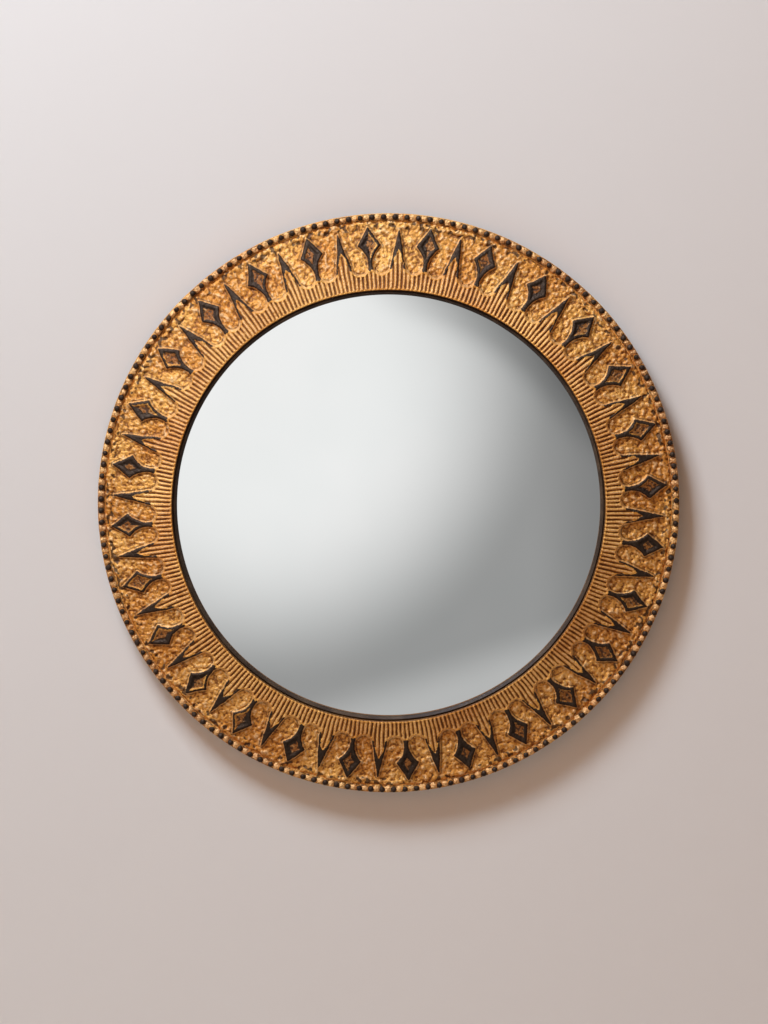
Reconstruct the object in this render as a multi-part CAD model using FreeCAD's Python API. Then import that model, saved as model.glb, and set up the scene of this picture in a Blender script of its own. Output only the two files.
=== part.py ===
import FreeCAD, Part
import math
import os

# Round wall mirror: a convex glass in a cast frame, held in from behind by turn buttons and hung on a ring.
# The wall is the plane Y = 0 and the glass faces -Y. X runs to the right of someone facing the glass, Z runs up.
# A depth is a distance from the wall towards that person, so it is -Y. Lengths are millimetres.
# A turn is an angle in degrees, clockwise from the top as that person sees it.

# Convex glass
glass_radius = 111.5
glass_thickness = 3.0
dome_radius = 407.0  # of the glass's front face
glass_lap = 6.2  # of the slip over the glass's edge
glass_gap = 0.1  # between the glass and what bears on its curved faces

# Dark slip round the glass
slip_width = 1.45  # of the lip that shows
slip_flange = 0.9  # thickness behind the frame's lip
slip_nose = 0.35  # thickness at the sight edge
slip_rise = 1.2  # of the lip's face, which slopes up from that edge
slip_flat = 0.35  # level top outside the slope
slip_gap = 0.65  # dark line between the lip and the frame's opening
slip_clearance = 0.2

# Cast frame: body
frame_width = 37.6
edge_height = 7.5  # of the side wall, up to the floor that the beads stand on
back_chamfer = 2.5
edge_chamfer = 0.6
face_rise = 8.9  # of the sloping face, from its foot at the fillet to the opening
foot_step = 0.4  # from the bead floor up to the foot of the sloping face
lip_thickness = 3.6
rebate_clearance = 0.5

# Cast frame: ornament
motif_count = 28  # lozenges, with as many darts between them
motif_turn = 2.2  # of the first dart
relief_height = 1.2
relief_root = 0.8  # how far the raised work is keyed into the face
bead_band_width = 3.6
bead_count = 156
bead_turn = 1.29  # of the first bead
bead_radius = 1.6
bead_edge_gap = 0.1  # from the beads to the frame's outer edge
bead_stand = 0.3  # from the floor up to the beads' centres
fillet_width = 0.8
fillet_height = 0.7
border_width = 2.2  # of the plain ground between the fillet and the lozenges
dart_setback = 1.7  # of the darts' tips from the circle of the lozenges' tips
dart_half_width = 3.3
lozenge_half_width = 5.45
lozenge_corner_share = 0.52  # of the way from the stem's foot to the tip
stem_half_width = 0.75
lobe_round = 4.8  # radius of the sunk lobes' inner ends
rib_band_width = 7.7
ribs_per_motif = 12
groove_width = 0.9
groove_lip = 0.7  # uncut edge between the grooves and the opening
groove_end_gap = 0.5  # uncut edge between the grooves and the lobes
dart_groove_reach = 8.0  # past the lobes' ends, of the groove up a dart's middle
side_groove_reach = 4.5  # likewise of the grooves on each side of it

# Back board, and the ring that presses the glass against the slip
board_thickness = 3.2
board_clearance = 0.4
board_sink = 0.3  # of the board's back below the frame's back
spacer_width = 9.8
spacer_clearance = 0.2

# Rubber bumpers, which stand the frame off the wall
bumper_thickness = 4.0
bumper_radius = 5.5
bumper_chamfer = 0.8
bumper_inset = 16.0  # of the bumpers' centres from the frame's outer edge
bumper_turns = {"upper_right": 60.0, "lower_right": 120.0, "lower_left": 240.0, "upper_left": 300.0}

# Screws
screw_radius = 1.75
screw_length = 11.0
screw_point = 2.5
screw_head_radius = 3.0
screw_head_height = 1.8
screw_head_chamfer = 0.7
recess_width = 0.8
recess_length = 3.4
recess_depth = 1.0
pilot_clearance = 0.05

# Turn buttons
button_count = 6
button_turn = 30.0  # of the first button
button_thickness = 1.2
button_lift = 0.25  # of the buttons off the frame's back
button_head_radius = 5.0
button_tip_radius = 3.4
button_grip = 8.0  # of a button's end over the board
button_pivot_inset = 7.0  # of the pivot from the rebate's edge
button_chamfer = 0.25
pivot_clearance = 0.08
head_gap = 0.1  # between a button and its screw's head

# Hanger: a plate with a rolled knuckle, and the ring that swings in it
ring_wire_radius = 1.1
ring_leg = 4.0  # from the bar up to the half round
ring_corner = 1.8
ring_side_gap = 0.7  # along the bar, between the knuckle and the ring's bends
knuckle_width = 8.0
knuckle_clearance = 0.06
hanger_sheet = 0.8
hanger_height = 9.0
hanger_corner = 2.5
hanger_inset = 3.0  # from the rebate's edge up to the plate
hanger_rim = 0.5  # of the plate past the screws' heads
hanger_screw_gap = 0.9  # between the screws' heads and the ring folded down
neck_length = 5.0  # from the plate up to the knuckle's middle

overrun = 2.0  # of every cutting tool past what it cuts
seam_tolerance = 0.00001

# Circles that follow from the sizes above
sight_radius = glass_radius - glass_lap
slip_lip_radius = sight_radius + slip_width
opening_radius = slip_lip_radius + slip_gap
outer_radius = opening_radius + frame_width
rebate_radius = glass_radius + rebate_clearance
board_radius = rebate_radius - board_clearance
slip_flange_radius = rebate_radius - slip_clearance
spacer_outer_radius = rebate_radius - spacer_clearance
spacer_inner_radius = spacer_outer_radius - spacer_width
bead_circle_radius = outer_radius - bead_edge_gap - bead_radius
fillet_outer_radius = outer_radius - bead_band_width
face_outer_radius = fillet_outer_radius - fillet_width
lozenge_tip_radius = face_outer_radius - border_width
dart_tip_radius = lozenge_tip_radius - dart_setback
lobe_end_radius = opening_radius + rib_band_width
lobe_centre_radius = lobe_end_radius + lobe_round
bumper_circle_radius = outer_radius - bumper_inset
button_pivot_radius = rebate_radius + button_pivot_inset
button_length = button_pivot_inset + button_grip - button_tip_radius  # between its round ends' centres

# Depths that follow from the sizes above
frame_back = bumper_thickness
bead_floor = frame_back + edge_height
face_foot = bead_floor + foot_step
face_crown = face_foot + face_rise
crown = face_crown + relief_height
lip_back = crown - lip_thickness
slip_bearing_radius = dome_radius + glass_gap
dome_centre = lip_back - slip_flange - math.sqrt(slip_bearing_radius**2 - slip_lip_radius**2)
board_back = frame_back + board_sink
board_front = board_back + board_thickness
button_front = frame_back - button_lift
button_back = button_front - button_thickness
hanger_back = frame_back - hanger_sheet

# Sizes of the hanger that follow from the sizes above
ring_half_width = knuckle_width / 2 + ring_side_gap + ring_corner  # to the middle of the wire
knuckle_radius = ring_wire_radius + knuckle_clearance + hanger_sheet
knuckle_middle = frame_back - knuckle_radius
hanger_screw_half_spacing = ring_half_width + ring_wire_radius + hanger_screw_gap + screw_head_radius
hanger_half_width = hanger_screw_half_spacing + screw_head_radius + hanger_rim
plate_bottom = rebate_radius + hanger_inset
plate_top = plate_bottom + hanger_height
pivot_height = plate_top + neck_length

motif_pitch = 360.0 / motif_count
rib_pitch = motif_pitch / ribs_per_motif
section_turn = 90.0  # of the plane that turned sections are drawn in
origin = FreeCAD.Vector(0, 0, 0)
axis = FreeCAD.Vector(0, 1, 0)


def section(radius, depth):
    """A point of a turned section."""
    return FreeCAD.Vector(radius, -depth, 0)


def on_face(turn, lateral, radius, depth=0):
    """A point at a radius along a turn, moved clockwise by a lateral length."""
    a = math.radians(turn)
    x = radius * math.sin(a) + lateral * math.cos(a)
    z = radius * math.cos(a) - lateral * math.sin(a)
    return FreeCAD.Vector(x, -depth, z)


def chain(points):
    return [Part.makeLine(p, q) for p, q in zip(points, points[1:])]


def arc(*points):
    return Part.Arc(*points).toShape()


def turned(edges, sweep=360):
    """The solid that a closed section makes as it turns about the mirror's axis."""
    return Part.Face(Part.Wire(edges)).revolve(origin, axis, sweep)


def turned_polygon(points, sweep=360):
    return turned(chain(points + points[:1]), sweep)


def dome_depth(radius, sphere_radius):
    return dome_centre + math.sqrt(sphere_radius**2 - radius**2)


def dome_point(radius, sphere_radius):
    return section(radius, dome_depth(radius, sphere_radius))


def dome_arc(start_radius, end_radius, sphere_radius):
    """The edge of a section that follows the glass's curve from one radius to another."""
    middle_radius = (start_radius + end_radius) / 2
    return arc(*[dome_point(r, sphere_radius) for r in (start_radius, middle_radius, end_radius)])


def convex_mirror():
    back_radius = dome_radius - glass_thickness
    rim = [dome_point(glass_radius, dome_radius), dome_point(glass_radius, back_radius)]
    middle = [dome_point(0, back_radius), dome_point(0, dome_radius)]
    curves = [dome_arc(0, glass_radius, dome_radius), dome_arc(0, glass_radius, back_radius)]
    return turned([curves[0]] + chain(rim) + [curves[1]] + chain(middle))


def sight_slip():
    """An L-shaped ring: the lip shows inside the opening, the flange sits between the frame's lip and the glass."""
    sight_edge = dome_point(sight_radius, slip_bearing_radius)
    nose_depth = dome_depth(sight_radius, slip_bearing_radius) + slip_nose
    slip_front = nose_depth + slip_rise
    outside = [
        sight_edge,
        section(sight_radius, nose_depth),
        section(slip_lip_radius - slip_flat, slip_front),
        section(slip_lip_radius, slip_front),
        section(slip_lip_radius, lip_back),
        section(slip_flange_radius, lip_back),
        dome_point(slip_flange_radius, slip_bearing_radius),
    ]
    return turned(chain(outside) + [dome_arc(sight_radius, slip_flange_radius, slip_bearing_radius)])


def spacer_ring():
    bearing_radius = dome_radius - glass_thickness - glass_gap
    sides = [
        dome_point(spacer_outer_radius, bearing_radius),
        section(spacer_outer_radius, board_front),
        section(spacer_inner_radius, board_front),
        dome_point(spacer_inner_radius, bearing_radius),
    ]
    return turned(chain(sides) + [dome_arc(spacer_inner_radius, spacer_outer_radius, bearing_radius)])


def back_board():
    return Part.makeCylinder(board_radius, board_thickness, section(0, board_front), axis)


def frame_profile():
    """The frame's section without its raised work."""
    fillet_top = face_foot + fillet_height
    return [
        section(rebate_radius, frame_back),
        section(outer_radius - back_chamfer, frame_back),
        section(outer_radius, frame_back + back_chamfer),
        section(outer_radius, bead_floor - edge_chamfer),
        section(outer_radius - edge_chamfer, bead_floor),
        section(fillet_outer_radius, bead_floor),
        section(fillet_outer_radius, fillet_top),
        section(face_outer_radius, fillet_top),
        section(face_outer_radius, face_foot),
        section(opening_radius, face_crown),
        section(opening_radius, lip_back),
        section(rebate_radius, lip_back),
    ]


def raised_profile():
    """The section of a layer that covers the whole sloping face as high as its raised work."""
    return [
        section(opening_radius, face_crown - relief_root),
        section(face_outer_radius, face_foot - relief_root),
        section(face_outer_radius, face_foot + relief_height),
        section(opening_radius, crown),
    ]


def motif_side(dart_turn, lozenge_turn):
    """The edge of the raised work from a dart's tip, round the end of a sunk lobe, to a lozenge's tip."""
    side = 1 if dart_turn > lozenge_turn else -1
    stem_angle = math.degrees(math.asin(stem_half_width / lobe_centre_radius))
    dart_angle = math.degrees(math.asin(dart_half_width / lobe_centre_radius))
    lobe_turn = (lozenge_turn + dart_turn + side * (stem_angle - dart_angle)) / 2
    corner_rise = lozenge_corner_share * (lozenge_tip_radius - lobe_centre_radius)
    corner_run = lozenge_half_width - stem_half_width
    hollow_radius = (corner_rise**2 + corner_run**2) / (2 * corner_run)
    middle_rise = corner_rise / 2
    middle_run = hollow_radius - math.sqrt(hollow_radius**2 - middle_rise**2)
    dart_tip = on_face(dart_turn, 0, dart_tip_radius)
    dart_foot = on_face(dart_turn, -side * dart_half_width, lobe_centre_radius)
    lobe_end = on_face(lobe_turn, 0, lobe_end_radius)
    stem = on_face(lozenge_turn, side * stem_half_width, lobe_centre_radius)
    hollow = on_face(lozenge_turn, side * (stem_half_width + middle_run), lobe_centre_radius + middle_rise)
    corner = on_face(lozenge_turn, side * lozenge_half_width, lobe_centre_radius + corner_rise)
    lozenge_tip = on_face(lozenge_turn, 0, lozenge_tip_radius)
    return [
        Part.makeLine(dart_tip, dart_foot),
        arc(dart_foot, lobe_end, stem),
        arc(stem, hollow, corner),
        Part.makeLine(corner, lozenge_tip),
    ]


def column(edges):
    """An outline on the face, made into a column that passes right through the raised layer."""
    start = bead_floor - overrun
    outline = Part.Face(Part.Wire(edges))
    outline.translate(FreeCAD.Vector(0, -start, 0))
    return outline.extrude(FreeCAD.Vector(0, start - crown - overrun, 0))


def motif_column(first_dart):
    """Ribs, darts and lozenges in outline, over the sector and one more motif on each side of it."""
    darts = [first_dart + number * motif_pitch for number in (-1, 0, 1, 2)]
    edges = []
    for left_dart, right_dart in zip(darts, darts[1:]):
        lozenge = (left_dart + right_dart) / 2
        edges += motif_side(left_dart, lozenge) + motif_side(right_dart, lozenge)[::-1]
    first, last = (on_face(dart, 0, dart_tip_radius) for dart in (darts[0], darts[-1]))
    return column(edges + chain([last, origin, first]))


def groove_columns(first_dart):
    """The slots between the ribs, longer up the darts, over the sector and one more slot on each side of it."""
    reaches = {0: dart_groove_reach, 1: side_groove_reach, ribs_per_motif - 1: side_groove_reach}
    columns = []
    for number in range(-1, ribs_per_motif + 2):
        turn = first_dart + number * rib_pitch
        start = opening_radius + groove_lip
        end = lobe_end_radius + reaches.get(number % ribs_per_motif, -groove_end_gap)
        ends = ((-1, start), (1, start), (1, end), (-1, end), (-1, start))
        columns.append(column(chain([on_face(turn, side * groove_width / 2, radius) for side, radius in ends])))
    return columns


def frame_sector():
    """One motif of the frame, from the middle of one dart to the middle of the next."""
    layer = turned_polygon(raised_profile(), motif_pitch)
    raised = layer.common(motif_column(section_turn)).cut(groove_columns(section_turn))
    return turned_polygon(frame_profile(), motif_pitch).fuse(raised)


def lies_on_turn(face, turn):
    across = on_face(turn, 1, 0)
    points = [vertex.Point for vertex in face.Vertexes] + [face.CenterOfMass]
    return all(abs(point.dot(across)) < seam_tolerance for point in points)


def joined_ring(sector):
    """The sector repeated all the way round, without the flat faces where its copies meet."""
    ends = (section_turn, section_turn + motif_pitch)
    skin = [face for face in sector.Faces if not any(lies_on_turn(face, turn) for turn in ends)]
    faces = []
    for number in range(motif_count):
        for face in skin:
            copy = face.copy()
            copy.rotate(origin, axis, motif_turn - section_turn + number * motif_pitch)
            faces.append(copy)
    shell = Part.makeCompound(faces)
    shell.sewShape(seam_tolerance)
    return Part.Solid(shell.Shells[0]).removeSplitter()


def beads():
    centre_depth = bead_floor + bead_stand
    turns = [bead_turn + 360.0 * number / bead_count for number in range(bead_count)]
    return [Part.makeSphere(bead_radius, on_face(turn, 0, bead_circle_radius, centre_depth)) for turn in turns]


def screw_hole(place, start_depth, length):
    """A hole along the mirror's axis that clears a screw, from a depth towards the front."""
    start = FreeCAD.Vector(place.x, -start_depth, place.z)
    return Part.makeCylinder(screw_radius + pilot_clearance, length, start, -axis)


def button_turns():
    return [button_turn + 360.0 * number / button_count for number in range(button_count)]


def button_places():
    return [on_face(turn, 0, button_pivot_radius) for turn in button_turns()]


def hanger_screw_places():
    height = plate_bottom + hanger_height / 2
    return [FreeCAD.Vector(side * hanger_screw_half_spacing, 0, height) for side in (-1, 1)]


def frame_ring():
    frame = joined_ring(frame_sector()).fuse(beads())
    holes = [screw_hole(place, button_back, screw_length) for place in button_places()]
    holes += [screw_hole(place, hanger_back, screw_length) for place in hanger_screw_places()]
    return frame.cut(holes)


def pan_screw(place, seat):
    """A pan-head screw with a cross recess. Its head bears at the depth called seat, and its point is in the frame."""
    head_back = seat - screw_head_height
    screw = turned_polygon(
        [
            section(0, head_back),
            section(screw_head_radius - screw_head_chamfer, head_back),
            section(screw_head_radius, head_back + screw_head_chamfer),
            section(screw_head_radius, seat),
            section(screw_radius, seat),
            section(screw_radius, seat + screw_length - screw_point),
            section(0, seat + screw_length),
        ]
    )
    bars = []
    for length, width in ((recess_length, recess_width), (recess_width, recess_length)):
        corner = FreeCAD.Vector(-length / 2, -head_back - recess_depth, -width / 2)
        bars.append(Part.makeBox(length, recess_depth + overrun, width, corner))
    screw = screw.cut(bars)
    screw.translate(place)
    return screw


def turn_button(turn):
    """A flat steel tongue, with a wide round head on its screw and a narrow round end over the board."""
    lean = (button_head_radius - button_tip_radius) / button_length
    flank = math.sqrt(1 - lean**2)
    tip_centre = button_pivot_radius - button_length

    def rim(centre, radius, side):
        return on_face(turn, side * radius * flank, centre - radius * lean, button_front)

    head_end = on_face(turn, 0, button_pivot_radius + button_head_radius, button_front)
    tip_end = on_face(turn, 0, tip_centre - button_tip_radius, button_front)
    head_left, head_right = (rim(button_pivot_radius, button_head_radius, side) for side in (-1, 1))
    tip_left, tip_right = (rim(tip_centre, button_tip_radius, side) for side in (-1, 1))
    edges = [arc(head_left, head_end, head_right), Part.makeLine(head_right, tip_right)]
    edges += [arc(tip_right, tip_end, tip_left), Part.makeLine(tip_left, head_left)]
    tongue = Part.Face(Part.Wire(edges)).extrude(axis * button_thickness)
    tongue = tongue.makeChamfer(button_chamfer, [e for e in tongue.Edges if e.BoundBox.YLength < button_chamfer])
    start = on_face(turn, 0, button_pivot_radius, button_front + overrun)
    hole_radius = screw_radius + pivot_clearance
    return tongue.cut(Part.makeCylinder(hole_radius, button_thickness + 2 * overrun, start, axis))


def wall_bumper(turn):
    bumper = turned_polygon(
        [
            section(0, frame_back),
            section(bumper_radius, frame_back),
            section(bumper_radius, bumper_chamfer),
            section(bumper_radius - bumper_chamfer, 0),
            section(0, 0),
        ]
    )
    bumper.translate(on_face(turn, 0, bumper_circle_radius))
    return bumper


def hanger_plate():
    along = FreeCAD.Vector(1, 0, 0)
    plate_corner = FreeCAD.Vector(-hanger_half_width, -frame_back, plate_bottom)
    plate = Part.makeBox(2 * hanger_half_width, hanger_sheet, hanger_height, plate_corner)
    plate = plate.makeFillet(hanger_corner, [e for e in plate.Edges if e.BoundBox.YLength > hanger_sheet / 2])
    neck_corner = FreeCAD.Vector(-knuckle_width / 2, -frame_back, plate_top - hanger_corner)
    neck = Part.makeBox(knuckle_width, hanger_sheet, neck_length + hanger_corner, neck_corner)
    knuckle_end = FreeCAD.Vector(-knuckle_width / 2, -knuckle_middle, pivot_height)
    knuckle = Part.makeCylinder(knuckle_radius, knuckle_width, knuckle_end, along)
    bore_radius = ring_wire_radius + knuckle_clearance
    bore = Part.makeCylinder(bore_radius, knuckle_width + 2 * overrun, knuckle_end - along * overrun, along)
    holes = [screw_hole(place, hanger_back - overrun, hanger_sheet + 2 * overrun) for place in hanger_screw_places()]
    return plate.fuse([neck, knuckle]).cut([bore] + holes).removeSplitter()


def hanger_ring():
    """One closed loop of wire: a bar in the knuckle, two legs and a half round."""

    def point(across, up):
        return FreeCAD.Vector(across, -knuckle_middle, pivot_height + up)

    def bend(side):
        inset = ring_corner * (1 - math.sqrt(0.5))
        middle = point(side * (ring_half_width - inset), inset)
        return arc(point(side * bar_end, 0), middle, point(side * ring_half_width, ring_corner))

    def leg(side):
        return chain([point(side * ring_half_width, ring_corner), point(side * ring_half_width, ring_leg)])

    bar_end = ring_half_width - ring_corner
    bar = chain([point(-bar_end, 0), point(bar_end, 0)])
    top = arc(point(ring_half_width, ring_leg), point(0, ring_leg + ring_half_width), point(-ring_half_width, ring_leg))
    path = Part.Wire(bar + [bend(1)] + leg(1) + [top] + leg(-1) + [bend(-1)])
    wire_section = Part.Wire(Part.makeCircle(ring_wire_radius, point(-bar_end, 0), FreeCAD.Vector(1, 0, 0)))
    return path.makePipeShell([wire_section], True, False)


def write(name, *solids):
    shape = solids[0] if len(solids) == 1 else Part.makeCompound(list(solids))
    shape.exportStep(os.path.join("parts", name + ".step"))
    print(name, len(shape.Solids), "solid", shape.isValid(), round(shape.Volume, 1), "mm3")


def main():
    os.makedirs("parts", exist_ok=True)
    write("frame_ring", frame_ring())
    write("sight_slip", sight_slip())
    write("convex_mirror", convex_mirror())
    write("spacer_ring", spacer_ring())
    write("back_board", back_board())
    for number, turn in enumerate(button_turns(), 1):
        write(f"turn_button_{number}", turn_button(turn))
    write("turn_button_screws", *[pan_screw(place, button_back - head_gap) for place in button_places()])
    write("hanger_plate", hanger_plate())
    write("hanger_ring", hanger_ring())
    write("hanger_screws", *[pan_screw(place, hanger_back) for place in hanger_screw_places()])
    for name, turn in bumper_turns.items():
        write("wall_bumper_" + name, wall_bumper(turn))


main()
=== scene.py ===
import math

import bpy
import numpy as np
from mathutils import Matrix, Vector, noise


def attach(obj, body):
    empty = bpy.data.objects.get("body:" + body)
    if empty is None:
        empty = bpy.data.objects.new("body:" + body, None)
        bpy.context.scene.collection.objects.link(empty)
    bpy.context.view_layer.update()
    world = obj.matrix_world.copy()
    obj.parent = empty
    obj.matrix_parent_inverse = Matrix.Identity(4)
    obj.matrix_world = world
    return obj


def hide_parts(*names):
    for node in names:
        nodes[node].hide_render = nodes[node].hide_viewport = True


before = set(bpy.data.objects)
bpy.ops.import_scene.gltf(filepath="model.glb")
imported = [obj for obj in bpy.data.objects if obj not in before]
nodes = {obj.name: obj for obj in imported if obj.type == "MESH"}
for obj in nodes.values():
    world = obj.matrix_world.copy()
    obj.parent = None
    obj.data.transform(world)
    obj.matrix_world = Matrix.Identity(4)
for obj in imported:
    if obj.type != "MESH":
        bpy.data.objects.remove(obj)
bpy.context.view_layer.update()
print("frame loaded:", len(nodes), "CAD nodes")

# Lengths below are millimetres, as in the CAD part.
# A turn is clockwise from the top, and a depth runs from the wall to the viewer.


def smooth(low, high, value):  # 0 up to low, 1 from high on, an even curve between them
    t = np.clip((value - low) / (high - low), 0, 1)
    return t * t * (3 - 2 * t)


def points(radius, turn, depth):  # turns in radians; the points are in metres
    radius, turn, depth = np.broadcast_arrays(radius, turn, depth)
    return np.stack([radius * np.sin(turn), -depth, radius * np.cos(turn)], axis=-1) / 1000


def turnsOf(columns):
    return np.arange(columns) * 2 * math.pi / columns


def linked(name, mesh, body, slot, *replaced, sharp=None):  # edges bent past the sharp angle stay crisp
    mesh.shade_smooth()
    if sharp:
        mesh.set_sharp_from_angle(angle=math.radians(sharp))
    piece = bpy.data.objects.new(name, mesh)
    bpy.context.scene.collection.objects.link(piece)
    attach(piece, body)
    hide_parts(*replaced)
    return piece


def sheetFaces(rows, columns, wrapped):  # rows run clockwise; the next row lies outwards on the front
    index = np.arange(rows * columns).reshape(rows, columns)
    nextRow = np.roll(index, -1, axis=0)
    faces = np.stack([index, np.roll(index, -1, axis=1), np.roll(nextRow, -1, axis=1), nextRow], axis=-1)
    return faces if wrapped else faces[:-1]


def turnedMesh(name, profile, columns):  # a closed section of radii and depths, turned about the axis
    radii, depths = np.array(profile, float).T
    verts = points(radii[:, None], turnsOf(columns)[None, :], depths[:, None])
    mesh = bpy.data.meshes.new(name)
    mesh.from_pydata(verts.reshape(-1, 3), [], sheetFaces(len(radii), columns, True).reshape(-1, 4))
    return mesh


def mark(mesh, **values):  # numbers kept per vertex, which the materials read
    for name, value in values.items():
        flat = np.broadcast_to(np.asarray(value, np.float32).ravel(), len(mesh.vertices))
        mesh.attributes.new(name, "FLOAT", "POINT").data.foreach_set("value", np.ascontiguousarray(flat))


def sampled(function, x, z, size, layer):  # a noise function over points, with features of about a size
    pairs = zip((x / size).ravel(), (z / size).ravel())
    return np.array([function(Vector((a, layer, b))) for a, b in pairs]).reshape(x.shape)


def pebble(place):  # highest in the middle of a cell, with a crease between two cells
    return 0.6 - noise.voronoi(place)[0][0]


def arcThrough(a, b, c, count):  # points from a to c on the circle through a, b and c
    a, b, c = (complex(*p) for p in (a, b, c))
    w = (c - a) / (b - a)
    centre = a + (b - a) * (w - abs(w) ** 2) / (2j * w.imag)
    middle, whole = (np.angle((p - centre) / (a - centre)) for p in (b, c))
    if middle * whole < 0:
        whole += math.copysign(2 * math.pi, middle)
    arc = centre + (a - centre) * np.exp(1j * whole * np.linspace(0, 1, count))
    return list(zip(arc.real, arc.imag))


# The sloping face of the frame, cast with lozenges, darts, sunk lobes and ribs
ornament = {
    "motifs": 28, "firstDart": 2.2, "ribs": 12, "columnsPerRib": 6,
    "ribRow": 0.6, "motifRow": 0.5, "motifRowsFrom": 114.4,  # rows of the mesh
    "opening": 107.4, "foot": 141.7, "openingDepth": 20.8, "footDepth": 11.6, "relief": 1.2,
    "openingBack": 19.6, "footBack": 10.4,
    "lozengeTip": 138.4, "dartTip": 136.7, "lobeMiddle": 119.9, "lobeEnd": 115.1, "motifsFrom": 116,
    "dartHalf": 3.3, "stemHalf": 0.75, "cornerHalf": 5.45, "cornerRadius": 129.52,
    "wall": (-0.95, 0.3),  # up from the ground to the raised tops, across their edge
    "wobble": 0.32, "wobbleSize": 7.0,
    # the hammered ground, lower inside the belt along its outer border
    "lump": 2.1, "lumpHeight": 0.8, "lumpLevel": 0.4, "pebbles": 1.4, "knobs": 0.55,
    "swells": 1.1, "swellSize": 1.3, "swellLevel": 0.25, "grainSize": 1.1, "grainHeight": 0.14,
    "pitSize": 1.9, "pitDepth": 0.45, "pitCut": (0.05, 0.38), "pitBelt": (135.2, 139.6), "pitShare": 0.08,
    "belt": (136.0, 139.0), "beltDrop": 0.3,
    # the ribs, and the outer ends of their grooves
    "grooveFloor": 0.1, "grooveHalf": 0.38, "grooveDepth": 0.4, "ribHalf": 1.0, "ribRound": 0.55,
    "ribWobble": 0.22, "ribWobbleSize": 3.1, "ribStart": (107.6, 108.8), "ribFromEdge": (0.15, 0.75),
    "axisReach": 126.0, "besideReach": 121.5, "ribReach": 116.5, "reachFade": (0.5, 0.4),
    "fadeSize": 3.5, "fadeCut": (-0.3, 0.3), "fadeShare": 0.62,
    # the lozenges' sunk middles, the lip at the opening and the step to the beads
    "dishDepth": 0.5, "dishFrom": (1.0, 2.1), "fleckSize": 1.2, "fleckDepth": 0.3, "fleckCut": (-0.05, 0.25),
    "lipRound": 0.55, "lipTo": (107.3, 108.3), "lipLine": (107.45, 107.9),
    "stepUp": 0.4, "stepUpAt": (137.4, 139.2), "stepDown": 1.4, "stepDownAt": (140.3, 141.5),
    "stepWobble": 0.8, "stepWobbleSize": 2.4,
    # wear of the raised tops
    "wearOver": 0.3, "wearFrom": (116.2, 118.2), "unworn": -2.0,
    "border": 0.95, "borderSpread": 0.8, "wideBorder": 1.3, "wideFrom": 0.7, "borderFade": 0.55,
    "dartWear": 122.5, "dartWearSpread": 3, "dartBorder": 0.7, "dartTaper": 2.6, "dartFade": 0.6,
    # shares in the colour's marks
    "ribMark": 0.62, "dishMark": 0.85, "fleckMark": 0.8,
}


def motifLine(o):  # the raised work's edge from a dart's tip to a lozenge's, seen from the dart's axis
    half = math.pi / o["motifs"]

    def at(turn, lateral, radius):
        sine, cosine = math.sin(turn), math.cos(turn)
        return (radius * sine + lateral * cosine, radius * cosine - lateral * sine)

    dartAngle, stemAngle = (math.asin(o[k] / o["lobeMiddle"]) for k in ("dartHalf", "stemHalf"))
    foot = at(0, o["dartHalf"], o["lobeMiddle"])
    stem = at(half, -o["stemHalf"], o["lobeMiddle"])
    corner = at(half, -o["cornerHalf"], o["cornerRadius"])
    run, rise = o["cornerHalf"] - o["stemHalf"], o["cornerRadius"] - o["lobeMiddle"]
    bend = (rise**2 + run**2) / (2 * run)
    hollow = at(half, -o["stemHalf"] - bend + math.sqrt(bend**2 - rise**2 / 4), o["lobeMiddle"] + rise / 2)
    lobe = arcThrough(foot, at((half + dartAngle - stemAngle) / 2, 0, o["lobeEnd"]), stem, 15)
    side = arcThrough(stem, hollow, corner, 9)[1:]
    return [(0, o["dartTip"])] + lobe + side + [at(half, 0, o["lozengeTip"])]


def edgeDistance(x, y, line):  # to that edge, positive on the raised work
    far = [(200 * math.sin(0.14), 200 * math.cos(0.14)), (-5, 200)]  # closes the line well outside the frame
    nearest = np.full(x.shape, 1e9)
    sunk = np.zeros(x.shape, bool)
    for number, ((ax, ay), (bx, by)) in enumerate(zip(line + far, line[1:] + far + line[:1])):
        dx, dy = bx - ax, by - ay
        sunk ^= ((ay > y) != (by > y)) & (x < dx * (y - ay) / (dy or 1) + ax)
        if number < len(line) - 1:
            t = np.clip(((x - ax) * dx + (y - ay) * dy) / (dx * dx + dy * dy), 0, 1)
            nearest = np.minimum(nearest, np.hypot(x - ax - t * dx, y - ay - t * dy))
    return np.where(sunk, -nearest, nearest)


def motifMap(mesh, rows, columns, motifs):  # one motif to a cell of the map, in a table of 6 by 5
    across = np.arange(columns) % (columns // motifs) / (columns / motifs)
    cell = np.arange(columns) * motifs // columns
    left, right = across, across + motifs / columns
    up = np.append(np.arange(rows) / (rows - 1), 1.0)
    corners = np.empty((rows, columns, 4, 2))
    for number, (side, shift) in enumerate(((left, 0), (right, 0), (right, 1), (left, 1))):
        height = np.minimum(up[shift:rows + shift], 1)[:, None]
        corners[:, :, number, 0] = (cell % 6 + 0.02 + 0.96 * side) / 6
        corners[:, :, number, 1] = (cell // 6 + 0.02 + 0.96 * height) / 5
    hidden = np.arange(columns) / columns * 0.3  # the underside, in a spare cell
    for number, (shift, level) in enumerate(((0, 0.82), (1, 0.82), (1, 0.97), (0, 0.97))):
        along = 0.68 + hidden + shift * 0.3 / columns
        corners[-1, :, number] = np.stack([along, np.full(columns, level)], axis=-1)
    mesh.uv_layers.new(name="OFBake").uv.foreach_set("vector", corners.astype(np.float32).ravel())


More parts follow.
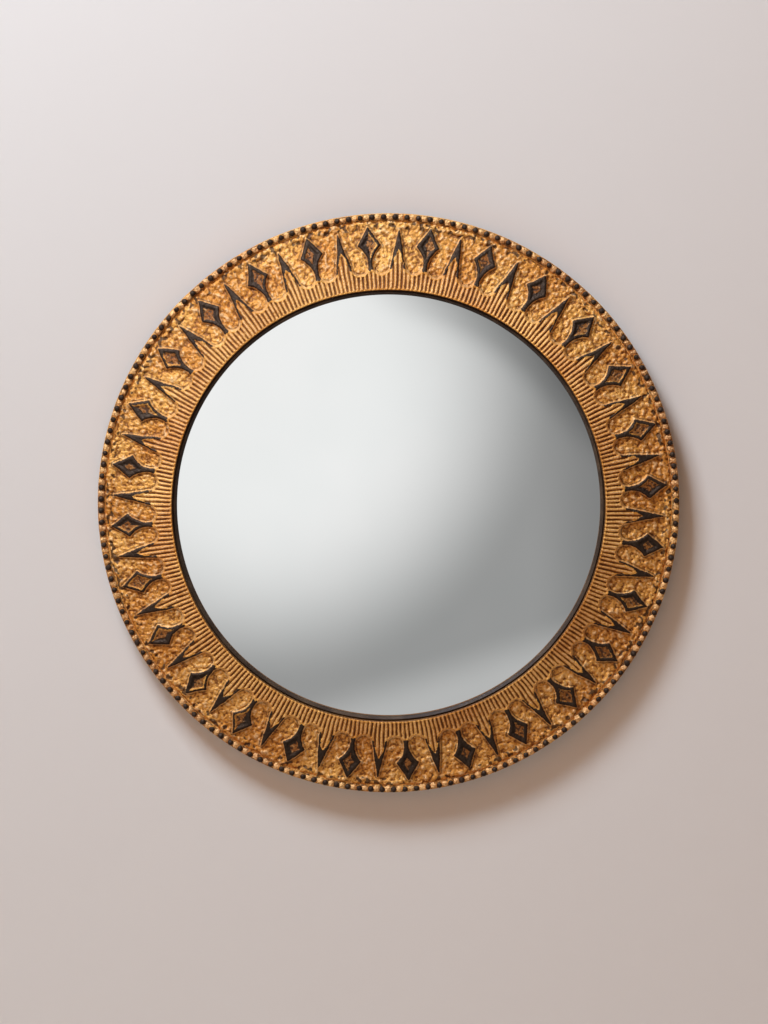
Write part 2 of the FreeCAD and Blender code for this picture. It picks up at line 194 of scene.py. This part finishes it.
def castFace(o):
    columns = o["motifs"] * o["ribs"] * o["columnsPerRib"]
    firstDart, pitch = math.radians(o["firstDart"]), 2 * math.pi / o["motifs"]
    ribRows = np.arange(o["opening"], o["motifRowsFrom"], o["ribRow"])
    motifRows = np.arange(o["motifRowsFrom"], o["foot"], o["motifRow"])
    radii = np.concatenate([ribRows, motifRows, [o["foot"]]])
    r, turn = np.meshgrid(radii, firstDart + turnsOf(columns), indexing="ij")
    x, z = r * np.sin(turn), r * np.cos(turn)

    def uneven(size, layer):
        return sampled(noise.noise, x, z, size, layer)

    # a little unevenness of the hand-cut pattern
    shiftA, shiftB = (o["wobble"] * uneven(o["wobbleSize"], layer) for layer in (1.3, 5.7))
    cutRadius = r + shiftA
    fromDart = (turn - firstDart + shiftB / r + pitch / 2) % pitch - pitch / 2
    folded = np.abs(fromDart)
    edge = edgeDistance(cutRadius * np.sin(folded), cutRadius * np.cos(folded), motifLine(o))
    motif = np.floor((turn - firstDart) / pitch + 0.5).astype(int)
    chance = np.random.default_rng(41).random((3, o["motifs"] + 2))
    inLozenge = (folded > 0.25 * pitch) & (cutRadius > o["motifsFrom"])
    inDart = (folded <= 0.25 * pitch) & (cutRadius > o["motifsFrom"])
    # hammered ground: pebbles with creases between them, pits along the border
    slope = (o["footDepth"] - o["openingDepth"]) / (o["foot"] - o["opening"])
    ground = o["openingDepth"] + (r - o["opening"]) * slope
    lumps = o["pebbles"] * sampled(pebble, x + shiftA, z + shiftB, o["lump"], 9.1)
    lumps = lumps + o["knobs"] * uneven(o["lump"] / 2, 3.9)
    lumps = lumps + o["swells"] * np.abs(uneven(o["swellSize"] * o["lump"], 6.3)) - o["swellLevel"]
    grain = uneven(o["grainSize"], 2.2)
    pits = smooth(*o["pitCut"], uneven(o["pitSize"], 7.7))
    pits = pits * (o["pitShare"] + (1 - o["pitShare"]) * smooth(*o["pitBelt"], r))
    sunk = 1 - smooth(*o["wall"], edge)
    hammered = o["lumpHeight"] * (lumps - o["lumpLevel"]) + o["grainHeight"] * grain - o["pitDepth"] * pits
    hammered = hammered - o["beltDrop"] * (1 - smooth(*o["belt"], r))
    # ribs: grooves on the darts' axes and at even steps between them, longest up the darts
    ribPitch = pitch / o["ribs"]
    step = np.round(fromDart / ribPitch)
    across = np.abs(fromDart - step * ribPitch) * r
    across = np.abs(across + o["ribWobble"] * uneven(o["ribWobbleSize"], 6.6))
    nearAxis = [np.abs(step) == 0, np.abs(step) == 1]
    reach = np.select(nearAxis, [o["axisReach"], o["besideReach"]], o["ribReach"])
    before, after = o["reachFade"]
    along = smooth(*o["ribStart"], r) * (1 - smooth(reach - before, reach + after, cutRadius))
    along = along * smooth(*o["ribFromEdge"], edge)
    rounded = along * np.clip(0.5 + 0.5 * np.cos(across * math.pi / o["ribHalf"]), 0, 1)
    groove = along * (1 - smooth(o["grooveFloor"], o["grooveHalf"] + 0.2, across))
    kept = smooth(*o["fadeCut"], uneven(o["fadeSize"], 6.1))
    groove = groove * (o["fadeShare"] + (1 - o["fadeShare"]) * kept)
    dish = o["dishDepth"] * inLozenge * smooth(*o["dishFrom"], edge)
    flecks = dish * 2 * smooth(*o["fleckCut"], uneven(o["fleckSize"], 8.8))
    height = o["relief"] * (1 - sunk) + hammered * sunk - dish - o["fleckDepth"] * flecks
    depth = ground + height - o["grooveDepth"] * groove - o["ribRound"] * rounded
    depth = depth - o["lipRound"] * (1 - smooth(*o["lipTo"], r)) ** 2
    # where the raised tops are worn to their dark undercoat, as a distance inwards from its edge
    wide = chance[1][motif] > o["wideFrom"]
    border = o["border"] + o["borderSpread"] * chance[0][motif] + o["wideBorder"] * wide
    lozengeDark = np.minimum(edge + o["wearOver"], o["borderFade"] * (border - edge))
    fromTip = np.clip(cutRadius - o["dartWear"] - o["dartWearSpread"] * chance[2][motif], 0, 20)
    border = o["dartBorder"] + fromTip / o["dartTaper"]
    dartDark = np.minimum(edge + o["wearOver"], o["dartFade"] * (border - edge))
    dark = np.select([inLozenge, inDart], [lozengeDark, dartDark], o["unworn"])
    dark = dark + o["unworn"] * (1 - smooth(*o["wearFrom"], cutRadius))
    # an uneven step to the beads
    ragged = r + o["stepWobble"] * uneven(o["stepWobbleSize"], 4.4)
    depth = depth + o["stepUp"] * smooth(*o["stepUpAt"], r) - o["stepDown"] * smooth(*o["stepDownAt"], ragged)
    ends = np.array([[o["opening"]], [o["foot"]]]) + 0 * r[:2]
    backs = np.array([[o["openingBack"]], [o["footBack"]]]) + 0 * r[:2]
    radius = np.concatenate([ends[:1], r, ends[1:]])
    deep = np.concatenate([backs[:1], depth, backs[1:]])
    verts = points(radius, np.vstack([turn[:1], turn, turn[:1]]), deep)
    mesh = bpy.data.meshes.new("frame_ornament")
    mesh.from_pydata(verts.reshape(-1, 3), [], sheetFaces(len(radius), columns, True).reshape(-1, 4))
    marks = {
        "edge": edge,
        "dark": dark,
        "groove": np.maximum(groove, 1 - smooth(*o["lipLine"], r)),
        # lump: ground lumps and rib crests take the pale ridge colour, partly a painted highlight; grooves
        # and dishes take the hollow brown
        "lump": lumps * sunk + o["ribMark"] * along * (1 - 2 * rounded) - o["dishMark"] * dish,
        "pit": pits * sunk + o["fleckMark"] * flecks,
    }
    mark(mesh, **{name: np.pad(value, ((1, 1), (0, 0)), "edge") for name, value in marks.items()})
    motifMap(mesh, len(radius), columns, o["motifs"])
    return mesh


castMesh = castFace(ornament)
castPiece = linked("frame_ornament", castMesh, "mirror", "gilded_resin", "frame_ring")
print("ornament:", len(castMesh.polygons), "faces")

# The frame's body: fillet, floor of the bead course, side wall, back, rebate and lip
body = {"columns": 672, "sharp": 50, "stain": 0.5, "stainAbove": 11.2, "backBelow": 6.9, "rebate": 112.0}
bodyProfile = [  # radius and depth
    (107.4, 18.8), (107.7, 19.9), (139.5, 10.6), (141.0, 11.0), (141.5, 11.35), (142.0, 11.5),
    (143.6, 11.5), (144.3, 11.47), (144.72, 11.3), (144.95, 10.9), (145.0, 10.4), (145.0, 8.4),
    (145.0, 6.8), (144.8, 6.2), (142.9, 4.25), (142.3, 4.0), (130.0, 4.0), (112.3, 4.0),
    (112.0, 4.3), (112.0, 11.0), (112.0, 18.4), (107.7, 18.4), (107.4, 18.6),
]
bodyMesh = turnedMesh("frame_body", bodyProfile, body["columns"])
stain = [body["stain"] if depth > body["stainAbove"] else 0.0 for radius, depth in bodyProfile]
mark(bodyMesh, edge=-3.0, dark=-2.0, groove=0.0, lump=0.3, pit=np.repeat(stain, body["columns"]))
bodyPiece = linked("frame_body", bodyMesh, "mirror", "gilded_resin", "frame_ring", sharp=body["sharp"])

# The beads, worn dark on top, with a rough gold lump in the gap after each
beads = {
    "count": 156, "first": 1.29, "circle": 143.3, "depth": 11.8, "radius": 1.6, "rings": 9, "sides": 20,
    "top": 0.12, "bottom": 1.95,  # angles down from a bead's top, in radians
    # beadCream and lumpCream give the pale ridge colour, partly a painted highlight
    "cap": 1.36, "capSpread": 0.22, "beadCream": 0.1,
    "lumpSize": (1.5, 1.7, 0.95), "knobs": 0.45, "lumpShift": 0.1, "lumpSink": 0.3, "lumpCream": 0.6,
    "outside": 144.9, "sizeSpread": 0.05, "lumpFrom": 0.8, "lumpSpread": 0.4, "unworn": -2.0, "pit": 0.15,
}


def beadRow(o):
    rng = np.random.default_rng(7)
    verts, faces, worn, cream = [], [], [], []
    tilt = np.linspace(o["top"], o["bottom"], o["rings"])
    around = turnsOf(o["sides"])
    grid = sheetFaces(o["rings"], o["sides"], False).reshape(-1, 4)
    radialUnit = np.sin(tilt)[:, None] * np.cos(around)
    lateralUnit = np.sin(tilt)[:, None] * np.sin(around)
    riseUnit = np.cos(tilt)[:, None] + 0 * around

    def add(radius, turn, depth, wear, pale):
        start = len(verts) * radius.size
        verts.append(points(radius, turn, depth).reshape(-1, 3))
        faces.extend((grid + start).tolist())
        faces.append([start + k for k in range(o["sides"])][::-1])
        worn.append((wear + 0 * radius).ravel())
        cream.append(np.full(radius.size, pale))

    for number in range(o["count"]):
        turn = math.radians(o["first"]) + 2 * math.pi * number / o["count"]
        size = o["radius"] * (1 - o["sizeSpread"] * rng.random())
        cap = o["cap"] + o["capSpread"] * rng.random()
        radial, lateral = size * radialUnit, size * lateralUnit
        wear = cap - np.hypot(radial, lateral)
        bead = turn + lateral / o["circle"]
        add(o["circle"] + radial, bead, o["depth"] + size * riseUnit, wear, o["beadCream"])
        wide, long, high = o["lumpSize"] * (o["lumpFrom"] + o["lumpSpread"] * rng.random(3))
        places = [Vector((2 * math.cos(a), 2 * math.sin(a), 3 * number + b)) for b in tilt for a in around]
        knobs = 1 + o["knobs"] * np.array([noise.noise(place) for place in places]).reshape(riseUnit.shape)
        radius = np.minimum(o["circle"] - o["lumpShift"] + wide * knobs * radialUnit, o["outside"])
        gap = turn + math.pi / o["count"] + long * knobs * lateralUnit / o["circle"]
        depth = o["depth"] - o["lumpSink"] + high * knobs * riseUnit
        add(radius, gap, depth, o["unworn"], o["lumpCream"])
    mesh = bpy.data.meshes.new("bead_course")
    mesh.from_pydata(np.concatenate(verts), [], faces)
    marks = {"dark": np.concatenate(worn), "lump": np.concatenate(cream), "pit": o["pit"]}
    mark(mesh, edge=-3.0, groove=0.0, **marks)
    return mesh


beadPiece = linked("bead_course", beadRow(beads), "mirror", "gilded_resin", "frame_ring")
print("frame body and beads made")

# The domed glass
glass = {
    "radius": 111.5, "thickness": 3.0, "dome": 407.0, "centre": -375.353, "columns": 360, "sharp": 25,
    "pole": 0.03, "ring": 1.5, "ringsTo": 105, "outerRings": (107, 109, 111.2),
    "rimFront": 0.35, "rimBack": 0.3,
}


def domeDepth(radius, sphere):  # of a sphere about the dome's centre
    return glass["centre"] + math.sqrt(sphere**2 - radius * radius)


def domeProfile(o):
    radii = np.concatenate([[o["pole"]], np.arange(o["ring"], o["ringsTo"], o["ring"]), o["outerRings"]])
    front = [(a, domeDepth(a, o["dome"])) for a in radii]
    back = [(a, domeDepth(a, o["dome"] - o["thickness"])) for a in radii[::-1]]
    rim = [(o["radius"], front[-1][1] - o["rimFront"]), (o["radius"], back[0][1] + o["rimBack"])]
    return front + rim + back


glassMesh = turnedMesh("mirror_glass", domeProfile(glass), glass["columns"])
glassPiece = linked(
    "mirror_glass", glassMesh, "mirror", "silvered_glass", "convex_mirror", sharp=glass["sharp"])

# The dark slip round the glass, a sloping lip with eased edges
slip = {
    "sight": 105.3, "lip": 106.75, "flange": 111.8, "nose": 0.35, "rise": 1.2, "flat": 0.35, "lipBack": 18.4,
    "gap": 0.1, "underRings": (109.0, 107.0), "columns": 480, "sharp": 35,
}


def slipProfile(o):
    radii = (o["flange"], *o["underRings"], o["sight"])
    under = [(a, domeDepth(a, glass["dome"] + o["gap"])) for a in radii]
    nose = under[-1][1] + o["nose"]
    front, ridge = nose + o["rise"], o["lip"] - o["flat"]
    edge = [(o["sight"], nose - 0.12), (o["sight"] + 0.1, nose + 0.06)]
    crest = [(ridge - 0.15, front - 0.18), (ridge, front - 0.05), (ridge + 0.15, front)]
    outside = [(o["lip"] - 0.1, front), (o["lip"], front - 0.1), (o["lip"], o["lipBack"])]
    return edge + crest + outside + [(o["flange"], o["lipBack"])] + under


slipMesh = turnedMesh("slip", slipProfile(slip), slip["columns"])
slipPiece = linked("slip", slipMesh, "mirror", "dark_slip", "sight_slip", sharp=slip["sharp"])
print("glass and slip made")


# Materials

def linear(code):  # an sRGB hex colour as linear light
    parts = [int(code[k:k + 2], 16) / 255 for k in (1, 3, 5)]
    return [p / 12.92 if p <= 0.04045 else ((p + 0.055) / 1.055) ** 2.4 for p in parts] + [1.0]


def addNode(tree, kind, inputs=(), output=0, **settings):  # inputs by name or in order: a value, or an output
    made = tree.nodes.new("ShaderNode" + kind)
    for name, value in settings.items():
        setattr(made, name, value)
    for key, value in inputs.items() if isinstance(inputs, dict) else enumerate(inputs):
        if isinstance(value, bpy.types.NodeSocket):
            tree.links.new(value, made.inputs[key])
        else:
            made.inputs[key].default_value = value
    return made.outputs[output] if made.outputs else made


eased = {"interpolation_type": "SMOOTHSTEP"}  # a range with an even curve between its ends
colours = {"data_type": "RGBA", "output": 2}  # a mix of two colours


def newMaterial(name):
    material = bpy.data.materials.new(name)
    material.use_nodes = True
    material.node_tree.nodes.clear()
    return material, material.node_tree, addNode(material.node_tree, "TexCoord", output="Object")


def painted(tree, base, *layers):  # colours over a base: a pattern, where it starts and is full, its share
    for pattern, start, full, share, code in layers:
        cover = addNode(tree, "MapRange", [pattern, start, full, 0.0, share], **eased)
        base = addNode(tree, "Mix", {0: cover, 6: base, 7: linear(code)}, **colours)
    return base


def band(tree, value, start, full, fade, end):  # 1 from full to fade, 0 before start and after end
    rising = addNode(tree, "MapRange", [value, start, full, 0.0, 1.0], **eased)
    falling = addNode(tree, "MapRange", [value, fade, end, 1.0, 0.0], **eased)
    return addNode(tree, "Math", [rising, falling], operation="MULTIPLY")


def surfaced(material, colour, rough, bump=None, more=None):  # ends a material; a bump's reach is in mm
    tree = material.node_tree
    pattern, low, high = rough
    sockets = {"Base Color": colour}
    sockets["Roughness"] = addNode(tree, "MapRange", [pattern, 0.3, 0.7, low, high], **eased)
    if bump:
        height, strength, reach = bump
        settings = {"Height": height, "Strength": strength, "Distance": reach / 1000}
        sockets["Normal"] = addNode(tree, "Bump", settings)
    shader = addNode(tree, "BsdfPrincipled", {**sockets, **(more or {})})
    addNode(tree, "OutputMaterial", {"Surface": shader})
    return material


# antiqued gold on cast resin: bright gold on ridges, partly a painted highlight, brown in hollows, near-black
# where the tops are worn
def giltCast():
    material, tree, place = newMaterial("cast resin, gilded and rubbed back")
    marks = ("edge", "dark", "groove", "lump", "pit")
    edge, dark, groove, lump, pit = (
        addNode(tree, "Attribute", output="Fac", attribute_name=name) for name in marks)
    sizes = (26.0, 3.0, 1.0)
    broad, middle, fine = (
        addNode(tree, "TexNoise", {"Vector": place, "Scale": 1000 / size, "Detail": 3.0}) for size in sizes)
    middleEven, fineEven = (addNode(tree, "Math", [value, -0.5], operation="ADD") for value in (middle, fine))
    high = addNode(tree, "Math", [fineEven, 0.6, lump], operation="MULTIPLY_ADD")
    gold = painted(
        tree, linear("#CA7D22"),
        (broad, 0.35, 0.65, 1.0, "#E29F45"),
        (high, 0.0, -0.42, 0.85, "#7A3F0C"),  # hollows
        (high, 0.1, 0.8, 0.34, "#F8D8A6"),  # rubbed ridges, partly a painted highlight on raised tops
        (fine, 0.46, 0.3, 0.45, "#8A4A10"),
        (fine, 0.5, 0.75, 0.4, "#EBBE7C"),
    )
    # the cut walls of the lozenges and darts are painted paler, partly wear and partly a painted highlight;
    # their feet get painted shade, and the pits get dark specks
    wallHighlight = band(tree, edge, -0.85, -0.45, 0.0, 0.2)
    wallHighlight = addNode(tree, "Math", [wallHighlight, 0.22], operation="MULTIPLY")
    gold = addNode(tree, "Mix", {0: wallHighlight, 6: gold, 7: linear("#E8C795")}, **colours)
    speck = addNode(tree, "Math", [pit, -0.75], operation="ADD")
    speck = addNode(tree, "Math", [middle, 0.7, speck], operation="MULTIPLY_ADD")
    speck = addNode(tree, "Math", [fine, 0.8, speck], operation="MULTIPLY_ADD")
    stainsAndPaintedLight = painted(tree, gold, (speck, 0.28, 0.62, 0.85, "#3E230E"))
    # painted shade: a patchy dark brown band at the foot of each cut wall
    footShade = band(tree, edge, -1.9, -1.15, -1.0, -0.75)
    patchy = addNode(tree, "MapRange", [middle, 0.35, 0.6, 0.1, 0.75], **eased)
    footShade = addNode(tree, "Math", [footShade, patchy], operation="MULTIPLY")
    stainsAndPaintedLight = addNode(tree, "Mix", {0: footShade, 6: stainsAndPaintedLight, 7: linear("#4E2D12")}, **colours)
    cut = addNode(tree, "Math", [fine, 0.3, groove], operation="MULTIPLY_ADD")
    stainsAndPaintedLight = painted(tree, stainsAndPaintedLight, (cut, 0.38, 0.85, 0.88, "#62330B"))
    # ragged patches of dark undercoat
    ragged = addNode(tree, "Math", [middleEven, 0.9, dark], operation="MULTIPLY_ADD")
    ragged = addNode(tree, "Math", [fineEven, 0.7, ragged], operation="MULTIPLY_ADD")
    worn = addNode(tree, "MapRange", [ragged, -0.1, 0.12, 0.0, 1.0], **eased)
    undercoat = addNode(tree, "Mix", {0: middle, 6: linear("#291812"), 7: linear("#53402F")}, **colours)
    surface = addNode(tree, "Mix", {0: worn, 6: stainsAndPaintedLight, 7: undercoat}, **colours)
    metal = addNode(tree, "MapRange", [worn, 0.0, 1.0, 0.45, 0.85], **eased)
    more = {"Metallic": metal, "Specular IOR Level": 0.45}
    return surfaced(material, surface, (fine, 0.52, 0.68), (fine, 0.9, 0.6), more)


def paintedBack():  # brown paint brushed over the rough back of the casting
    material, tree, place = newMaterial("cast resin, brushed brown paint")
    streak = addNode(tree, "TexNoise", {"Vector": place, "Scale": 1000 / 14.0, "Detail": 4.0})
    fine = addNode(tree, "TexNoise", {"Vector": place, "Scale": 1000 / 1.2, "Detail": 3.0})
    layers = [(streak, 0.35, 0.65, 1.0, "#54402F"), (fine, 0.55, 0.75, 0.5, "#6E5A46")]
    coat = painted(tree, linear("#3B2A1E"), *layers)
    return surfaced(material, coat, (streak, 0.55, 0.75), (fine, 0.4, 0.3))


def silveredGlass():  # a clean bright mirror, a trace of grey haze in it
    material, tree, place = newMaterial("glass, silvered on its back")
    haze = addNode(tree, "TexNoise", {"Vector": place, "Scale": 1000 / 60.0, "Detail": 2.0})
    tint = painted(tree, linear("#F6F8F7"), (haze, 0.3, 0.7, 1.0, "#FAFBFA"))
    return surfaced(material, tint, (haze, 0.01, 0.03), more={"Metallic": 1.0})


def lacqueredSlip():  # satin black-brown lacquer with small rubbed specks of lighter brown
    material, tree, place = newMaterial("resin, satin black lacquer")
    broad = addNode(tree, "TexNoise", {"Vector": place, "Scale": 1000 / 9.0, "Detail": 4.0})
    fine = addNode(tree, "TexNoise", {"Vector": place, "Scale": 1000 / 0.8, "Detail": 2.0})
    layers = [(broad, 0.4, 0.7, 1.0, "#4B3620"), (fine, 0.6, 0.8, 0.5, "#7A5A3A")]
    coat = painted(tree, linear("#33210F"), *layers)
    return surfaced(material, coat, (fine, 0.5, 0.68), (fine, 0.2, 0.1), {"Specular IOR Level": 0.25})


# mid-brown board with short dark and pale fibres, drawn coarser than real ones so that they show
def pressedHardboard():
    material, tree, place = newMaterial("hardboard, hot pressed")
    cloud = addNode(tree, "TexNoise", {"Vector": place, "Scale": 1000 / 35.0, "Detail": 4.0})
    upright = addNode(tree, "Mapping", {"Vector": place, "Scale": (1.0, 1.0, 0.22)})
    level = addNode(tree, "Mapping", {"Vector": place, "Scale": (0.22, 1.0, 1.0)})
    pale = addNode(tree, "TexNoise", {"Vector": upright, "Scale": 1000 / 0.7, "Detail": 3.0})
    dark = addNode(tree, "TexNoise", {"Vector": level, "Scale": 1000 / 0.7, "Detail": 3.0})
    board = painted(
        tree, linear("#805937"),
        (cloud, 0.35, 0.65, 1.0, "#8C633E"),
        (pale, 0.58, 0.75, 0.7, "#B08A5E"),
        (dark, 0.6, 0.78, 0.75, "#4C3119"),
    )
    return surfaced(material, board, (cloud, 0.5, 0.68), (pale, 0.25, 0.2))


def rolledGreyboard():  # grey recycled pulp with pale and dark flecks
    material, tree, place = newMaterial("greyboard, rolled pulp")
    fleck = addNode(tree, "TexNoise", {"Vector": place, "Scale": 1000 / 1.6, "Detail": 4.0})
    fine = addNode(tree, "TexNoise", {"Vector": place, "Scale": 1000 / 0.5, "Detail": 2.0})
    layers = [(fleck, 0.35, 0.65, 1.0, "#A39D92"), (fine, 0.62, 0.78, 0.6, "#5F5A52")]
    pulp = painted(tree, linear("#8A857C"), *layers)
    return surfaced(material, pulp, (fine, 0.8, 0.95), (fleck, 0.3, 0.2))


# bright zinc, blue-grey, with dull patches and faint rolling lines, drawn coarser than real ones
def platedSteel():
    material, tree, place = newMaterial("sheet steel, zinc plated")
    rolled = addNode(tree, "Mapping", {"Vector": place, "Scale": (0.06, 1.0, 1.0)})
    patch = addNode(tree, "TexNoise", {"Vector": place, "Scale": 1000 / 5.0, "Detail": 2.0})
    lines = addNode(tree, "TexNoise", {"Vector": rolled, "Scale": 1000 / 0.25, "Detail": 2.0})
    layers = [(patch, 0.3, 0.7, 1.0, "#BEC2C4"), (lines, 0.55, 0.8, 0.35, "#8F9396")]
    zinc = painted(tree, linear("#AEB3B6"), *layers)
    return surfaced(material, zinc, (patch, 0.32, 0.4), (lines, 0.12, 0.05), {"Metallic": 1.0})


def mouldedRubber():  # dark grey, dull, a little dusty
    material, tree, place = newMaterial("rubber, moulded")
    dust = addNode(tree, "TexNoise", {"Vector": place, "Scale": 1000 / 4.0, "Detail": 3.0})
    fine = addNode(tree, "TexNoise", {"Vector": place, "Scale": 1000 / 0.4, "Detail": 2.0})
    rubber = painted(tree, linear("#1E1E1E"), (dust, 0.35, 0.7, 1.0, "#333230"))
    return surfaced(material, rubber, (fine, 0.62, 0.82), (fine, 0.25, 0.1))


def dress(piece, *materials):
    piece.data.materials.clear()
    for material in materials:
        piece.data.materials.append(material)


gilt, back = giltCast(), paintedBack()
dress(castPiece, gilt)
dress(beadPiece, gilt)
dress(bodyPiece, gilt, back)
atBack = [depth < body["backBelow"] or radius == body["rebate"] for radius, depth in bodyProfile]
bodyMesh.polygons.foreach_set("material_index", np.repeat(atBack, body["columns"]).astype(np.int32))
dress(glassPiece, silveredGlass())
dress(slipPiece, lacqueredSlip())
board, pulp, zinc, rubber = pressedHardboard(), rolledGreyboard(), platedSteel(), mouldedRubber()
for name, piece in nodes.items():
    if piece.hide_render:
        continue
    finish = {"back_board": board, "spacer_ring": pulp}.get(name, rubber if "bumper" in name else zinc)
    for place in piece.material_slots:
        place.material = finish
print("materials made")

# Wall and floor, in metres
studio = {
    "wallCode": "#CEC2B0", "wallPlace": 0.0006, "wallTop": 3, "wallGlow": 0.0,
    "floorCode": "#CFCAC4", "floorHeight": -0.45, "floorFront": -4, "floorGlow": 0.8, "half": 3, "rough": 0.9,
}


def stagePlane(name, low, high, code, glow):  # from a low edge to a high one, each a depth and a height
    half = studio["half"]
    mesh = bpy.data.meshes.new(name)
    mesh.from_pydata([(-half, *low), (half, *low), (half, *high), (-half, *high)], [], [(0, 1, 2, 3)])
    plane = bpy.data.objects.new(name, mesh)
    bpy.context.scene.collection.objects.link(plane)
    material, tree = newMaterial(name + " paint")[:2]
    paint = addNode(tree, "BsdfPrincipled", {"Base Color": linear(code), "Roughness": studio["rough"]})
    pale = addNode(tree, "Emission", {"Color": linear(code)})
    seen = addNode(tree, "LightPath", output="Is Camera Ray")
    share = addNode(tree, "Math", [seen, glow], operation="MULTIPLY")
    front = addNode(tree, "MixShader", [share, paint, pale])
    behind = addNode(tree, "NewGeometry", output="Backfacing")
    hidden = addNode(tree, "BsdfTransparent")
    both = addNode(tree, "MixShader", [behind, front, hidden])
    addNode(tree, "OutputMaterial", {"Surface": both})
    mesh.materials.append(material)
    return plane


wallFoot = (studio["wallPlace"], studio["floorHeight"])
wallHead = (studio["wallPlace"], studio["wallTop"])
floorEdge = (studio["floorFront"], studio["floorHeight"])
wall = stagePlane("wall", wallFoot, wallHead, studio["wallCode"], studio["wallGlow"])
wall.visible_shadow = False
floor = stagePlane("floor", floorEdge, wallFoot, studio["floorCode"], studio["floorGlow"])
floor.visible_glossy = False

# The room's light: soft from the front and left, a little from below, dim at the upper right
room = {
    "window": (-0.345, -0.914, 0.21), "windowEdge": (0.69, 0.97), "windowLevel": (0.32, 0.89),
    "below": (0.3, 0, -0.95), "belowEdge": (0.48, 0.6), "belowLevel": 0.17,
    "corner": (0.6, 0, 0.8), "cornerEdge": (0.3, 0.5), "cornerLevel": -0.42,
    "front": (0, -0.995, -0.1), "frontEdge": (0.9, 0.852),
    "rightEdge": (0.36, 0.56), "rightLevel": -0.09,
    "asideEdge": (-0.76, -0.4), "asideLevel": 0.5, "warmCode": "#FFB673", "warmFront": 0.9,
}
world = bpy.data.worlds.new("studio")
bpy.context.scene.world = world
world.use_nodes = True
sky = world.node_tree
sky.nodes.clear()
ray = addNode(sky, "TexCoord", output="Generated")
axes = addNode(sky, "SeparateXYZ", [ray]).node.outputs
path = addNode(sky, "LightPath").node.outputs
window, below, corner, front = (
    addNode(sky, "VectorMath", [ray, room[name]], output="Value", operation="DOT_PRODUCT")
    for name in ("window", "below", "corner", "front"))
level = addNode(sky, "MapRange", [window, *room["windowEdge"], *room["windowLevel"]], **eased)
lifted = addNode(sky, "MapRange", [below, *room["belowEdge"], 0.0, room["belowLevel"]], **eased)
level = addNode(sky, "Math", [level, lifted], operation="ADD")
dim = addNode(sky, "MapRange", [corner, *room["cornerEdge"], 0.0, 1.0], **eased)
around = addNode(sky, "MapRange", [front, *room["frontEdge"], 0.0, room["cornerLevel"]], **eased)
dim = addNode(sky, "Math", [dim, around], operation="MULTIPLY")
level = addNode(sky, "Math", [level, dim, level], operation="MULTIPLY_ADD")
right = addNode(sky, "MapRange", [axes["X"], *room["rightEdge"], 0.0, room["rightLevel"]], **eased)
level = addNode(sky, "Math", [level, right], operation="ADD")
aside = addNode(sky, "MapRange", [axes["Y"], *room["asideEdge"], 0.0, 1.0], **eased)
kept = addNode(sky, "MapRange", [aside, 0.0, 1.0, 1.0, room["asideLevel"]], **eased)
level = addNode(sky, "Math", [level, kept], operation="MULTIPLY")
# the camera sees white past the wall, and neither it nor a reflection sees the room's warm tint
level = addNode(sky, "Math", [level, path["Is Camera Ray"]], operation="MAXIMUM")
plain = addNode(sky, "Math", [path["Is Camera Ray"], path["Is Glossy Ray"]], operation="MAXIMUM")
warmth = addNode(sky, "MapRange", [aside, 0.0, 1.0, room["warmFront"], 1.0], **eased)
tinted = addNode(sky, "Math", [1.0, plain], operation="SUBTRACT")
warmth = addNode(sky, "Math", [warmth, tinted], operation="MULTIPLY")
tint = addNode(sky, "Mix", {0: warmth, 6: linear("#FFFFFF"), 7: linear(room["warmCode"])}, **colours)
light = addNode(sky, "Background", {"Strength": level, "Color": tint})
addNode(sky, "OutputWorld", {"Surface": light})

lamps = {
    "key": {"place": (-0.53, -0.72, 1.12), "size": 0.45, "watts": 37.0, "code": "#CAE0FF"},
    "behind": {"place": (0.2, 1.3, 0.5), "size": 0.9, "watts": 14.0, "code": "#FFFFFF"},
}


def aimed(name, data, place, target):
    thing = bpy.data.objects.new(name, data)
    thing.location = place
    thing.rotation_mode = "QUATERNION"
    thing.rotation_quaternion = (Vector(target) - Vector(place)).to_track_quat("-Z", "Y")
    bpy.context.scene.collection.objects.link(thing)
    return thing


for name, lamp in lamps.items():
    data = bpy.data.lights.new(name, "AREA")
    data.size, data.energy = lamp["size"], lamp["watts"]
    data.color = linear(lamp["code"])[:3]
    aimed(name, data, lamp["place"], (0, 0, 0))

shot = {
    "lens": 127, "sensor": 36, "reach": 50,
    "aim": (-0.0023, -0.012, -0.0033), "above": 5.7, "distance": 1.8,
}
lens = bpy.data.cameras.new("camera")
lens.lens, lens.sensor_width, lens.clip_end = shot["lens"], shot["sensor"], shot["reach"]
above = math.radians(shot["above"])
place = Vector(shot["aim"]) + shot["distance"] * Vector((0, -math.cos(above), math.sin(above)))
bpy.context.scene.camera = aimed("camera", lens, place, shot["aim"])
bpy.context.scene.view_settings.view_transform = "Standard"
print("studio made")
